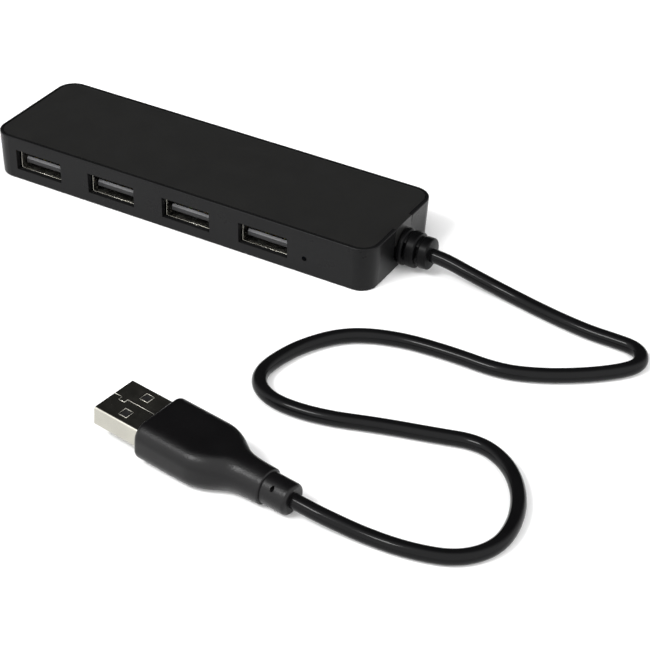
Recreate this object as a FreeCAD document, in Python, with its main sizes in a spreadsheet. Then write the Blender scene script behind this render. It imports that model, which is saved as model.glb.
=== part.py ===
import FreeCAD, Part
import math
import os
import Sketcher

# Four-port USB hub with a captive cord and a type A plug.
# Frame: millimetres, +Z up, origin at the centre of the case's flat bottom, +X towards the cord,
# the four ports open towards -Y.

Vector = FreeCAD.Vector

# ---------------------------------------------------------------------------------------------
# Driving dimensions (mm, degrees)
# ---------------------------------------------------------------------------------------------

DIMS = {
    # case
    "case_length": 105.0,
    "case_width": 32.2,
    "case_height": 11.6,
    "case_corner": 4.75,
    "wall_inset_at_foot": 0.54,
    "foot_round": 0.55,
    "rim_round": 0.3,
    "rim_width": 0.8,
    "ledge_width": 0.8,
    "floor_thickness": 1.2,
    # cover
    "cover_thickness": 1.3,
    "seam_gap": 0.15,
    "tab_half_width": 3.85,
    "tab_bottom": 7.0,
    "rib_width": 0.8,
    "rib_depth": 0.55,
    "clip_half_width": 2.0,
    "clip_thickness": 0.8,
    "clip_drop": 1.7,
    # ports
    "port_first": -39.08,
    "port_pitch": 21.09,
    "window_half_width": 6.55,
    "window_half_height": 2.675,
    "window_centre_height": 5.585,
    "shell_half_width": 6.55,
    "shell_half_height": 2.85,
    "shell_sheet": 0.3,
    "shell_corner": 0.6,
    "shell_front": 13.93,
    "shell_rear": -0.1,
    "port_axis_height": 5.4,
    "tongue_half_width": 5.55,
    "tongue_bottom": 3.51,
    "tongue_top": 5.35,
    "tongue_front": 13.0,
    "tongue_root": 4.5,
    "tongue_chamfer": 0.45,
    "groove_depth": 0.5,
    "groove_half_width": 0.65,
    "contact_half_width": 0.5,
    "contact_thickness": 0.25,
    "inner_contact": 1.0,
    "outer_contact": 3.5,
    # circuit board
    "board_left": -49.0,
    "board_right": 47.5,
    "board_half_width": 12.9,
    "board_underside": 8.25,
    "board_thickness": 1.2,
    "post_radius": 2.0,
    "pin_radius": 0.8,
    "pin_hole_radius": 1.1,
    # status light
    "led_x": 35.25,
    "led_height": 4.3,
    "led_hole_radius": 0.65,
    "led_radius": 1.5,
    "led_flange_radius": 1.8,
    # strain relief, measured along X
    "relief_height": 5.4,
    "relief_inner_end": 48.6,
    "relief_flange_radius": 4.0,
    "relief_flange_end": 50.6,
    "relief_neck_radius": 3.5,
    "relief_core_radius": 2.8,
    "bead_a_start": 52.6,
    "bead_a_end": 54.05,
    "bead_a_radius": 4.45,
    "bead_b_start": 54.45,
    "bead_b_end": 56.95,
    "bead_b_radius": 4.3,
    "bead_c_start": 57.54,
    "bead_c_end": 59.94,
    "bead_c_radius": 3.8,
    "first_bead_round": 0.5,
    "bead_round": 0.5,
    # cord and conductors
    "cord_radius": 1.65,
    "conductor_radius": 0.45,
    "solder_height": 1.0,
    # plug, measured along its own axis from the tip
    "cord_last_run": 4.0,
    "plug_tip_x": 30.76,
    "plug_tip_y": -85.48,
    "plug_tip_height": 5.86,
    "plug_heading": -7.08,
    "plug_pitch": 2.8,
    "plug_half_width": 6.0,
    "plug_half_height": 2.25,
    "plug_sheet": 0.3,
    "plug_corner": 0.5,
    "plug_exposed": 11.75,
    "plug_shell_length": 18.5,
    "latch_start": 5.0,
    "latch_end": 7.05,
    "latch_inner": 2.12,
    "latch_outer": 4.37,
    "seam_half": 0.06,
    "seam_line": 0.15,
    "seam_key": -0.9,
    "first_key_start": 1.9,
    "first_key_end": 3.5,
    "second_key_start": 10.8,
    "insulator_tip": 0.7,
    "insulator_half_width": 5.6,
    "insulator_top": 1.9,
    "insulator_block_start": 12.2,
    "insulator_end": 17.6,
    "pad_start": 1.6,
    "pad_end": 12.0,
    "pad_half_width": 0.5,
    "pad_thickness": 0.2,
    "grip_half_width": 7.85,
    "grip_half_height": 4.4,
    "grip_side_round": 3.3,
    "grip_front_round": 1.0,
    "grip_block_end": 25.0,
    "neck_end": 40.0,
    "neck_end_radius": 3.88,
    "collar_radius": 3.4,
    "collar_end": 46.05,
    "collar_round": 0.8,
    "collar_hole_radius": 0.45,
    "collar_hole_at": 42.4,
    "collar_hole_rise": 2.4,
    "collar_hole_bottom": 1.0,
}

# Dimensions that follow from the ones above.
DIMS["zero"] = 0.0
DIMS["rim_half_length"] = DIMS["case_length"] / 2
DIMS["rim_half_width"] = DIMS["case_width"] / 2
DIMS["foot_half_length"] = DIMS["rim_half_length"] - DIMS["wall_inset_at_foot"]
DIMS["foot_half_width"] = DIMS["rim_half_width"] - DIMS["wall_inset_at_foot"]
DIMS["foot_corner"] = DIMS["case_corner"] - DIMS["wall_inset_at_foot"]
DIMS["wall_draft"] = math.degrees(math.atan(DIMS["wall_inset_at_foot"] / DIMS["case_height"]))
DIMS["recess_half_length"] = DIMS["rim_half_length"] - DIMS["rim_width"]
DIMS["recess_half_width"] = DIMS["rim_half_width"] - DIMS["rim_width"]
DIMS["recess_corner"] = DIMS["case_corner"] - DIMS["rim_width"]
DIMS["cavity_half_length"] = DIMS["recess_half_length"] - DIMS["ledge_width"]
DIMS["cavity_half_width"] = DIMS["recess_half_width"] - DIMS["ledge_width"]
DIMS["cavity_corner"] = DIMS["recess_corner"] - DIMS["ledge_width"]
DIMS["cavity_depth"] = DIMS["case_height"] - DIMS["floor_thickness"]
DIMS["cover_half_length"] = DIMS["recess_half_length"] - DIMS["seam_gap"]
DIMS["cover_half_width"] = DIMS["recess_half_width"] - DIMS["seam_gap"]
DIMS["cover_corner"] = DIMS["recess_corner"] - DIMS["seam_gap"]
DIMS["cover_underside"] = DIMS["case_height"] - DIMS["cover_thickness"]
DIMS["notch_half_width"] = DIMS["tab_half_width"] + DIMS["seam_gap"]
DIMS["tab_inner_face"] = DIMS["cavity_half_length"]
DIMS["tab_outer_face"] = DIMS["rim_half_length"] - DIMS["seam_gap"] / 2
DIMS["tab_hole_radius"] = DIMS["relief_neck_radius"] + 0.25
DIMS["post_height"] = DIMS["board_underside"] - DIMS["floor_thickness"]
DIMS["pin_height"] = DIMS["post_height"] + DIMS["board_thickness"]
DIMS["board_top"] = DIMS["board_underside"] + DIMS["board_thickness"]
DIMS["shell_inner_half_width"] = DIMS["shell_half_width"] - DIMS["shell_sheet"]
DIMS["shell_inner_half_height"] = DIMS["shell_half_height"] - DIMS["shell_sheet"]
DIMS["shell_inner_corner"] = DIMS["shell_corner"] - DIMS["shell_sheet"]
DIMS["shell_length"] = DIMS["shell_front"] - DIMS["shell_rear"]
DIMS["plug_inner_half_width"] = DIMS["plug_half_width"] - DIMS["plug_sheet"]
DIMS["plug_inner_half_height"] = DIMS["plug_half_height"] - DIMS["plug_sheet"]
DIMS["plug_inner_corner"] = DIMS["plug_corner"] - DIMS["plug_sheet"]

PORT_COUNT = 4

# The arc at a corner of a tube's route takes up this share of the shorter run beside it.
SETBACK_SHARE = 0.45

# Board mounting posts on the case floor, (x, y).
POSTS = [(-28.5, -8.0), (13.6, -8.0), (-46.0, 10.5), (44.0, 10.5)]

# Route of the cord from the strain relief up to the plug; its last run lies on the plug's axis.
CORD_ROUTE = [
    (59.94, 0.0, 5.15), (61.7, 0.0, 5.15), (65.0, -0.1, 4.75), (70.6, -0.4, 3.65),
    (80.6, -0.6, 1.7), (91.5, -3.2, 1.7), (101.0, -4.7, 1.7), (107.5, -4.7, 1.7), (111.8, -4.9, 1.7),
    (114.3, -6.4, 1.7), (115.5, -9.1, 1.7), (115.0, -12.0, 1.7), (112.2, -15.6, 1.7),
    (106.8, -20.4, 1.7), (99.5, -25.2, 1.7), (91.0, -28.6, 1.7), (79.0, -28.2, 1.7),
    (66.5, -29.2, 1.7), (56.4, -33.6, 1.7), (50.4, -42.4, 1.7), (47.9, -51.2, 1.7),
    (48.0, -57.2, 1.7), (51.4, -61.6, 1.7), (57.4, -63.6, 1.7), (67.0, -62.7, 1.7),
    (78.0, -58.9, 1.7), (88.8, -56.0, 1.7), (98.3, -53.2, 1.7), (106.3, -56.8, 1.7),
    (112.2, -64.2, 1.7), (115.2, -73.0, 1.7), (115.1, -81.4, 1.7), (110.2, -87.9, 1.7),
    (101.5, -90.5, 1.7), (92.4, -91.1, 1.75), (84.4, -91.6, 2.9),
]

# Cover, windows and notch.
DIMS["front_wall_middle"] = DIMS["rim_half_width"] - 0.8
DIMS["end_wall_middle"] = DIMS["rim_half_length"] - 0.8
DIMS["wall_cut"] = 3.4
DIMS["window_bottom"] = DIMS["window_centre_height"] - DIMS["window_half_height"]
DIMS["window_top"] = DIMS["window_centre_height"] + DIMS["window_half_height"]
for port in range(1, PORT_COUNT + 1):
    DIMS["port_x_" + str(port)] = DIMS["port_first"] + (port - 1) * DIMS["port_pitch"]
    DIMS["window_left_" + str(port)] = DIMS["port_x_" + str(port)] - DIMS["window_half_width"]
    DIMS["window_right_" + str(port)] = DIMS["port_x_" + str(port)] + DIMS["window_half_width"]
for index, (post_x, post_y) in enumerate(POSTS, start=1):
    DIMS["post_x_" + str(index)] = post_x
    DIMS["post_y_" + str(index)] = post_y
DIMS["notch_half_height"] = 10.0
DIMS["notch_round"] = DIMS["notch_half_width"] - 0.02
DIMS["notch_centre"] = (DIMS["relief_height"] - DIMS["notch_half_width"]
                        + DIMS["notch_half_height"])
DIMS["tab_reach"] = DIMS["tab_outer_face"] - DIMS["tab_inner_face"]
DIMS["rib_half_length"] = DIMS["cavity_half_length"] - 8.0
DIMS["rib_near_low"] = -5.0
DIMS["rib_near_high"] = DIMS["rib_near_low"] + DIMS["rib_width"]
DIMS["rib_far_high"] = 5.0
DIMS["rib_far_low"] = DIMS["rib_far_high"] - DIMS["rib_width"]
DIMS["clip_inner"] = 30.0
DIMS["clip_outer"] = DIMS["clip_inner"] + 2 * DIMS["clip_half_width"]
DIMS["clip_board_side"] = -DIMS["board_half_width"] - 0.4
DIMS["clip_wall_side"] = DIMS["clip_board_side"] - DIMS["clip_thickness"]

# Board slots for the shells' legs.
DIMS["slot_cut"] = 4.0
DIMS["leg_front"] = 6.0
DIMS["leg_rear"] = 4.5
DIMS["leg_slot_front"] = -DIMS["leg_front"] - 0.3
DIMS["leg_slot_rear"] = -DIMS["leg_rear"] + 0.3
DIMS["leg_bottom"] = DIMS["board_underside"] - 0.85
DIMS["leg_rise"] = DIMS["board_top"] + 0.2 - DIMS["leg_bottom"]
for port in range(1, PORT_COUNT + 1):
    for side, sign in (("left", -1), ("right", 1)):
        middle = DIMS["port_x_" + str(port)] + sign * (DIMS["shell_half_width"] - 0.15)
        DIMS[side + "_slot_" + str(port) + "_low"] = middle - 0.45
        DIMS[side + "_slot_" + str(port) + "_high"] = middle + 0.45

# Chip, crystal and capacitors.
DIMS["chip_x"] = -10.0
DIMS["chip_y"] = 7.6
DIMS["chip_half_length"] = 5.1
DIMS["chip_half_width"] = 2.65
DIMS["chip_thickness"] = 1.75
DIMS["chip_bottom"] = DIMS["board_underside"] - 0.1 - DIMS["chip_thickness"]
DIMS["chip_edge"] = 0.25
DIMS["lead_pitch"] = 0.65
DIMS["lead_width"] = 0.3
DIMS["lead_thickness"] = 0.15
DIMS["crystal_x"] = 8.0
DIMS["crystal_half_length"] = 5.1
DIMS["crystal_half_width"] = 1.9
DIMS["crystal_corner"] = DIMS["crystal_half_width"] - 0.02
DIMS["crystal_height"] = 3.5
DIMS["crystal_bottom"] = DIMS["board_underside"] - DIMS["crystal_height"]
DIMS["flange_half_length"] = 5.5
DIMS["flange_half_width"] = 2.3
DIMS["flange_corner"] = DIMS["flange_half_width"] - 0.02
DIMS["flange_height"] = 0.5
DIMS["flange_bottom"] = DIMS["board_underside"] - DIMS["flange_height"]
DIMS["can_left_x"] = -34.0
DIMS["can_right_x"] = 24.0

DIMS["lead_rows"] = 14
DIMS["lead_knee"] = 0.55
DIMS["lead_toe"] = 1.3
DIMS["can_radius"] = 2.5
DIMS["can_length"] = 4.6
DIMS["can_round"] = 0.3
DIMS["can_foot_side"] = 5.3
DIMS["can_foot_height"] = 0.8
DIMS["small_part_length"] = 1.6
DIMS["small_part_width"] = 0.8
DIMS["small_part_end"] = 0.34
DIMS["small_part_plating"] = 0.03
DIMS["capacitor_height"] = 0.8
DIMS["resistor_height"] = 0.45

# Status light, measured back from the front of the case.
DIMS["led_tip"] = 14.2
DIMS["led_flange_front"] = 10.9
DIMS["led_dome"] = DIMS["led_tip"] - DIMS["led_flange_front"]
DIMS["led_round"] = DIMS["led_radius"] - 0.1
DIMS["led_flange"] = 1.0
DIMS["led_flange_back"] = DIMS["led_flange_front"] - DIMS["led_flange"] + 0.05
DIMS["led_lead"] = 0.45
DIMS["led_lead_pitch"] = 2.54
DIMS["led_lead_run"] = 1.2

# Conductors from the strain relief to their joints on the board.
DIMS["conductor_pitch"] = 1.05
DIMS["joint_pitch"] = 2.2
DIMS["joint_x"] = 41.4
DIMS["joint_tip_radius"] = 0.6
DIMS["joint_foot_radius"] = 0.95
DIMS["conductor_straight_end"] = 47.0
DIMS["conductor_bend_x"] = 44.6
DIMS["conductor_spread"] = 1.2
DIMS["conductor_first_drop"] = 0.3
DIMS["conductor_drop"] = 0.5

# Port shell springs: bent strips in windows of the lower and the upper wall.
DIMS["through_cut"] = 40.0
DIMS["spring_x"] = 3.2
DIMS["spring_width"] = 1.9
DIMS["spring_slot_inner"] = DIMS["spring_x"] - 1.3
DIMS["spring_slot_outer"] = DIMS["spring_x"] + 1.3
DIMS["spring_slot_front"] = 10.6
DIMS["spring_root"] = 4.3
DIMS["spring_foot"] = 4.1
DIMS["spring_crest"] = 8.8
DIMS["spring_tip"] = 10.2
for wall, sign in (("low", 1), ("high", -1)):
    outer = DIMS["port_axis_height"] - sign * DIMS["shell_half_height"]
    DIMS[wall + "_outer"] = outer
    DIMS[wall + "_inner"] = outer + sign * DIMS["shell_sheet"]
    DIMS[wall + "_crest_back"] = outer + sign * 0.4
    DIMS[wall + "_crest"] = outer + sign * 0.7
    DIMS[wall + "_tip_back"] = outer + sign * 0.1
    DIMS[wall + "_tip"] = outer + sign * 0.4

# Tongue block, contact strips and their tails.
DIMS["block_half_width"] = DIMS["shell_inner_half_width"] - 0.05
DIMS["block_half_height"] = DIMS["shell_inner_half_height"] - 0.05
DIMS["groove_front"] = DIMS["tongue_front"] - 0.5
DIMS["contact_width"] = 2 * DIMS["contact_half_width"]
DIMS["contact_root"] = DIMS["tongue_root"]
DIMS["contact_crest"] = 9.4
DIMS["contact_tip"] = DIMS["groove_front"] - 0.2
DIMS["contact_low"] = DIMS["tongue_top"] - DIMS["groove_depth"] + 0.03
DIMS["contact_top"] = DIMS["contact_low"] + DIMS["contact_thickness"]
DIMS["contact_crest_low"] = DIMS["contact_low"] + 0.7
DIMS["contact_crest_top"] = DIMS["contact_crest_low"] + DIMS["contact_thickness"]
DIMS["tail_width"] = 0.6
DIMS["tail_rise_front"] = 0.7
DIMS["tail_rise_rear"] = DIMS["tail_rise_front"] + 0.3
DIMS["tail_end"] = 2.0
DIMS["tail_foot_low"] = DIMS["board_underside"] - 0.3
CONTACTS = ("far_left", "left", "right", "far_right")
for contact, place in zip(CONTACTS, (-DIMS["outer_contact"], -DIMS["inner_contact"],
                                     DIMS["inner_contact"], DIMS["outer_contact"])):
    DIMS[contact + "_middle"] = place
    DIMS[contact + "_groove_low"] = place - DIMS["groove_half_width"]
    DIMS[contact + "_groove_high"] = place + DIMS["groove_half_width"]
    DIMS[contact + "_pad_low"] = place - DIMS["pad_half_width"]
    DIMS[contact + "_pad_high"] = place + DIMS["pad_half_width"]

# Plug: cuts, lengths and the stations of the neck as (place, half width, half height, round).
DIMS["plug_through_cut"] = 2 * DIMS["plug_shell_length"] + 4
DIMS["seam_depth"] = DIMS["plug_sheet"] + 0.05
for name in ("seam_line", "seam_key", "first_key_start", "first_key_end", "second_key_start"):
    DIMS[name + "_low"] = DIMS[name] - DIMS["seam_half"]
    DIMS[name + "_high"] = DIMS[name] + DIMS["seam_half"]
DIMS["seat_depth"] = DIMS["plug_shell_length"] - DIMS["plug_exposed"] + 1.0
DIMS["insulator_width"] = 2 * DIMS["insulator_half_width"]
DIMS["grip_block_length"] = DIMS["grip_block_end"] - DIMS["plug_exposed"]
DIMS["collar_length"] = DIMS["collar_end"] - DIMS["neck_end"]
NECK = [
    (DIMS["grip_block_end"], DIMS["grip_half_width"], DIMS["grip_half_height"],
     DIMS["grip_side_round"]),
    (27.5, 7.15, 4.35, 3.4),
    (29.2, 6.5, 4.3, 3.6),
    (30.5, 5.7, 4.25, 3.8),
    (32.0, 4.8, 4.15, 3.9),
    (34.0, 4.25, 4.05, 3.95),
    (DIMS["neck_end"], DIMS["neck_end_radius"] + 0.02, DIMS["neck_end_radius"],
     DIMS["neck_end_radius"] - 0.02),
]
for index, station in enumerate(NECK):
    for name, value in zip(("neck_at_", "neck_half_width_", "neck_half_height_", "neck_round_"),
                           station):
        DIMS[name + str(index)] = value

# Small two-terminal parts under the board, (x, y).
CERAMIC_CAPACITORS = [(-22.0, 4.0), (-22.0, 7.0), (-22.0, 10.0), (-3.0, 3.4), (1.0, 3.4),
                      (15.5, 5.0), (15.5, 9.0), (31.0, 4.0)]
RESISTORS = [(-26.0, 5.5), (-26.0, 8.5), (-17.0, 3.4), (18.5, 3.4), (34.5, -4.0), (34.5, 7.0)]


# ---------------------------------------------------------------------------------------------
# Document, dimension sheet and drawing helpers
# ---------------------------------------------------------------------------------------------

doc = FreeCAD.newDocument("usb_hub")
os.makedirs("parts", exist_ok=True)
sheet = doc.addObject("Spreadsheet::Sheet", "Dims")
SUB_PARTS = []


def fill_sheet():
    """Writes every dimension into the sheet under its own alias."""
    for row, (name, value) in enumerate(DIMS.items(), start=1):
        cell = "B" + str(row)
        sheet.set("A" + str(row), name)
        sheet.set(cell, str(value))
        sheet.setAlias(cell, name)
    doc.recompute()


def number(name):
    """The value of a dimension; a leading minus turns its sign."""
    if name.startswith("-"):
        return -DIMS[name[1:]]
    return DIMS[name]


def formula(name):
    """The same dimension as a reference into the sheet."""
    if name.startswith("-"):
        return "-Dims." + name[1:]
    return "Dims." + name


def new_body(label):
    """A body of its own for one sub-part; it may hold separate equal solids."""
    body = doc.addObject("PartDesign::Body", label)
    body.Label = label
    body.AllowCompound = True
    SUB_PARTS.append(body)
    return body


def sketch_on(body, name, role, offset="zero"):
    """A sketch parallel to an origin plane of the body, moved along the plane's normal."""
    sketch = body.newObject("Sketcher::SketchObject", name)
    plane = [feature for feature in body.Origin.OriginFeatures if feature.Role == role][0]
    sketch.AttachmentSupport = (plane, "")
    sketch.MapMode = "FlatFace"
    sketch.AttachmentOffset = FreeCAD.Placement(Vector(0, 0, number(offset)), FreeCAD.Rotation())
    sketch.setExpression("AttachmentOffset.Base.z", formula(offset))
    return sketch


def locate(sketch, geometry, point, x, y):
    """Fixes a point of the sketch by its two coordinates, each one bound to the sheet."""
    for axis, value in (("DistanceX", x), ("DistanceY", y)):
        index = sketch.addConstraint(
            Sketcher.Constraint(axis, -1, 1, geometry, point, number(value)))
        sketch.setExpression("Constraints[" + str(index) + "]", formula(value))


def polygon(sketch, corners):
    """A closed outline of straight sides; every corner is a pair of dimension names."""
    first = sketch.GeometryCount
    count = len(corners)
    for i in range(count):
        x0, y0 = corners[i]
        x1, y1 = corners[(i + 1) % count]
        sketch.addGeometry(Part.LineSegment(Vector(number(x0), number(y0), 0),
                                            Vector(number(x1), number(y1), 0)))
    for i in range(count):
        sketch.addConstraint(
            Sketcher.Constraint("Coincident", first + i, 2, first + (i + 1) % count, 1))
    for i, (x, y) in enumerate(corners):
        locate(sketch, first + i, 1, x, y)


def rectangle(sketch, x_low, x_high, y_low, y_high):
    polygon(sketch, [(x_low, y_low), (x_high, y_low), (x_high, y_high), (x_low, y_high)])


def circle(sketch, x, y, radius):
    index = sketch.addGeometry(Part.Circle(Vector(number(x), number(y), 0), Vector(0, 0, 1),
                                           number(radius)))
    locate(sketch, index, 3, x, y)
    size = sketch.addConstraint(Sketcher.Constraint("Radius", index, number(radius)))
    sketch.setExpression("Constraints[" + str(size) + "]", formula(radius))


def rounded_rectangle(sketch, half_x, half_y, radius, centre_y="zero"):
    """A rectangle with four equal round corners, centred on the sketch's vertical axis."""
    inner_x = number(half_x) - number(radius)
    inner_y = number(half_y) - number(radius)
    middle = number(centre_y)
    r = number(radius)
    quarter = math.pi / 2
    # The corner centres, in turn from the lower right one.
    centres = [(inner_x, -inner_y), (inner_x, inner_y), (-inner_x, inner_y), (-inner_x, -inner_y)]
    for i, (x, y) in enumerate(centres):
        before_x, before_y = centres[i - 1]
        start = (i - 1) * quarter
        outward = Vector(math.cos(start) * r, math.sin(start) * r, 0)
        sketch.addGeometry(Part.LineSegment(Vector(before_x, before_y + middle, 0) + outward,
                                            Vector(x, y + middle, 0) + outward))
        sketch.addGeometry(Part.ArcOfCircle(
            Part.Circle(Vector(x, y + middle, 0), Vector(0, 0, 1), r), start, start + quarter))
    for i in range(8):
        sketch.addConstraint(Sketcher.Constraint("Tangent", i, 2, (i + 1) % 8, 1))
    for side, direction in ((0, "Horizontal"), (2, "Vertical"), (4, "Horizontal"), (6, "Vertical")):
        sketch.addConstraint(Sketcher.Constraint(direction, side))
    for arc in (3, 5, 7):
        sketch.addConstraint(Sketcher.Constraint("Equal", 1, arc))
    size = sketch.addConstraint(Sketcher.Constraint("Radius", 1, r))
    sketch.setExpression("Constraints[" + str(size) + "]", formula(radius))
    for arc, sign_x, sign_y in ((1, 1, -1), (5, -1, 1)):
        for axis, sign, half, offset in (("DistanceX", sign_x, half_x, "zero"),
                                         ("DistanceY", sign_y, half_y, centre_y)):
            value = sign * (number(half) - r) + number(offset)
            index = sketch.addConstraint(Sketcher.Constraint(axis, -1, 1, arc, 3, value))
            turn = "" if sign > 0 else "-"
            sketch.setExpression("Constraints[" + str(index) + "]",
                                 turn + "(" + formula(half) + " - " + formula(radius) + ") + "
                                 + formula(offset))


def pad(body, sketch, length, taper=None, both_ways=False, turned=False):
    feature = body.newObject("PartDesign::Pad", sketch.Name + "_pad")
    feature.Profile = sketch
    feature.setExpression("Length", formula(length))
    feature.Midplane = both_ways
    feature.Reversed = turned
    if taper:
        feature.setExpression("TaperAngle", formula(taper))
    return finish_feature(body, feature)


def pocket(body, sketch, depth, both_ways=False):
    feature = body.newObject("PartDesign::Pocket", sketch.Name + "_pocket")
    feature.Profile = sketch
    feature.setExpression("Length", formula(depth))
    feature.Midplane = both_ways
    before = feature.BaseFeature.Shape.Volume if feature.BaseFeature else body.Shape.Volume
    finish_feature(body, feature)
    if feature.Shape.Volume > before - 1e-6:
        raise RuntimeError(feature.Name + " removed nothing")
    return feature


def round_edges(body, feature, name, radius, keep, kind="PartDesign::Fillet"):
    """Rounds, or bevels, the edges of a feature that pass the test keep."""
    names = ["Edge" + str(i + 1) for i, edge in enumerate(feature.Shape.Edges) if keep(edge)]
    if not names:
        raise RuntimeError(name + " found no edge")
    result = body.newObject(kind, name)
    result.Base = (feature, names)
    result.setExpression("Radius" if kind == "PartDesign::Fillet" else "Size", formula(radius))
    return finish_feature(body, result)


def finish_feature(body, feature):
    body.Tip = feature
    doc.recompute()
    if "Invalid" in feature.State or "Error" in feature.State:
        raise RuntimeError(feature.Name + " of " + body.Label + " failed")
    return feature


def at_height(height):
    """A test for edges that lie flat at one height."""
    return lambda edge: (abs(edge.BoundBox.ZMin - height) < 0.01
                         and abs(edge.BoundBox.ZMax - height) < 0.01)


def add_shape(label, shape, placement=None):
    """A sub-part made in one go, for groups of equal small solids and for swept tubes."""
    feature = doc.addObject("Part::Feature", label)
    feature.Label = label
    feature.Shape = shape
    if placement:
        feature.Placement = placement
    SUB_PARTS.append(feature)
    return feature


def box(centre_x, centre_y, bottom, size_x, size_y, height):
    """A block given by its middle, its underside and its three sizes."""
    corner = Vector(centre_x - size_x / 2, centre_y - size_y / 2, bottom)
    return Part.makeBox(size_x, size_y, height, corner)


def tube(route, radius, label):
    """A round tube along straight runs joined by arcs; prints its length and tightest bend."""
    points = [Vector(*point) for point in route]
    edges = []
    radii = []
    here = points[0]
    for before, corner, after in zip(points, points[1:], points[2:]):
        way_in = (corner - before).normalize()
        way_out = (after - corner).normalize()
        turn = way_in.getAngle(way_out)
        setback = SETBACK_SHARE * min((corner - before).Length, (after - corner).Length)
        start = corner - way_in * setback
        end = corner + way_out * setback
        bend = setback / math.tan(turn / 2)
        towards_centre = (way_out - way_in).normalize()
        middle = corner + towards_centre * (bend / math.cos(turn / 2) - bend)
        edges.append(Part.LineSegment(here, start).toShape())
        edges.append(Part.Arc(start, middle, end).toShape())
        radii.append(bend)
        here = end
    edges.append(Part.LineSegment(here, points[-1]).toShape())
    path = Part.Wire(edges)
    section = Part.Wire([Part.Circle(points[0], points[1] - points[0], radius).toShape()])
    solid = path.makePipeShell([section], True, True)
    expected = math.pi * radius * radius * path.Length
    print(label, "length", round(path.Length, 1), "smallest bend", round(min(radii), 2),
          "volume ratio", round(solid.Volume / expected, 4))
    print(label, "bend radii", [round(bend, 1) for bend in radii])
    return solid


# ---------------------------------------------------------------------------------------------
# Case
# ---------------------------------------------------------------------------------------------

def bottom_case():
    """The tray: flared walls, port windows, light hole, cord notch and board posts."""
    body = new_body("bottom_case")
    outline = sketch_on(body, "case_outline", "XY_Plane")
    rounded_rectangle(outline, "foot_half_length", "foot_half_width", "foot_corner")
    block = pad(body, outline, "case_height", taper="wall_draft")
    block = round_edges(body, block, "foot_rounding", "foot_round", at_height(0.0))
    round_edges(body, block, "rim_rounding", "rim_round", at_height(DIMS["case_height"]))

    recess = sketch_on(body, "cover_recess", "XY_Plane", "case_height")
    rounded_rectangle(recess, "recess_half_length", "recess_half_width", "recess_corner")
    pocket(body, recess, "cover_thickness")
    cavity = sketch_on(body, "cavity", "XY_Plane", "case_height")
    rounded_rectangle(cavity, "cavity_half_length", "cavity_half_width", "cavity_corner")
    pocket(body, cavity, "cavity_depth")

    # The port windows and the light hole go through the front wall only.
    windows = sketch_on(body, "port_windows", "XZ_Plane", "front_wall_middle")
    for port in range(1, PORT_COUNT + 1):
        rectangle(windows, "window_left_" + str(port), "window_right_" + str(port),
                  "window_bottom", "window_top")
    circle(windows, "led_x", "led_height", "led_hole_radius")
    pocket(body, windows, "wall_cut", both_ways=True)

    # The cover's tab closes the notch above the strain relief.
    notch = sketch_on(body, "cord_notch", "YZ_Plane", "end_wall_middle")
    rounded_rectangle(notch, "notch_half_width", "notch_half_height", "notch_round",
                      centre_y="notch_centre")
    pocket(body, notch, "wall_cut", both_ways=True)

    for name, radius, height in (("posts", "post_radius", "post_height"),
                                 ("post_pins", "pin_radius", "pin_height")):
        sketch = sketch_on(body, name, "XY_Plane", "floor_thickness")
        for index in range(len(POSTS)):
            circle(sketch, "post_x_" + str(index + 1), "post_y_" + str(index + 1), radius)
        pad(body, sketch, height)


def top_cover():
    """The inset cover with its end tab, stiffening ribs and snap clips."""
    body = new_body("top_cover")
    outline = sketch_on(body, "cover_outline", "XY_Plane", "cover_underside")
    rounded_rectangle(outline, "cover_half_length", "cover_half_width", "cover_corner")
    pad(body, outline, "cover_thickness")

    tab = sketch_on(body, "end_tab", "YZ_Plane", "tab_inner_face")
    rectangle(tab, "-tab_half_width", "tab_half_width", "tab_bottom", "case_height")
    pad(body, tab, "tab_reach")
    opening = sketch_on(body, "tab_opening", "YZ_Plane", "end_wall_middle")
    circle(opening, "zero", "relief_height", "tab_hole_radius")
    pocket(body, opening, "wall_cut", both_ways=True)

    ribs = sketch_on(body, "cover_ribs", "XY_Plane", "cover_underside")
    for low, high in (("rib_near_low", "rib_near_high"), ("rib_far_low", "rib_far_high")):
        rectangle(ribs, "-rib_half_length", "rib_half_length", low, high)
    pad(body, ribs, "rib_depth", turned=True)

    clips = sketch_on(body, "cover_clips", "XY_Plane", "cover_underside")
    for left, right in (("-clip_outer", "-clip_inner"), ("-clip_half_width", "clip_half_width"),
                        ("clip_inner", "clip_outer")):
        rectangle(clips, left, right, "clip_wall_side", "clip_board_side")
        rectangle(clips, left, right, "-clip_board_side", "-clip_wall_side")
    pad(body, clips, "clip_drop", turned=True)


# ---------------------------------------------------------------------------------------------
# Circuit board and what hangs under it
# ---------------------------------------------------------------------------------------------

def circuit_board():
    body = new_body("circuit_board")
    outline = sketch_on(body, "board_outline", "XY_Plane", "board_underside")
    rectangle(outline, "board_left", "board_right", "-board_half_width", "board_half_width")
    pad(body, outline, "board_thickness")
    holes = sketch_on(body, "pin_holes", "XY_Plane", "board_underside")
    for index in range(1, len(POSTS) + 1):
        circle(holes, "post_x_" + str(index), "post_y_" + str(index), "pin_hole_radius")
    pocket(body, holes, "slot_cut", both_ways=True)
    slots = sketch_on(body, "leg_slots", "XY_Plane", "board_underside")
    for port in range(1, PORT_COUNT + 1):
        for side in ("left", "right"):
            name = side + "_slot_" + str(port)
            rectangle(slots, name + "_low", name + "_high", "leg_slot_front", "leg_slot_rear")
    pocket(body, slots, "slot_cut", both_ways=True)


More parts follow.
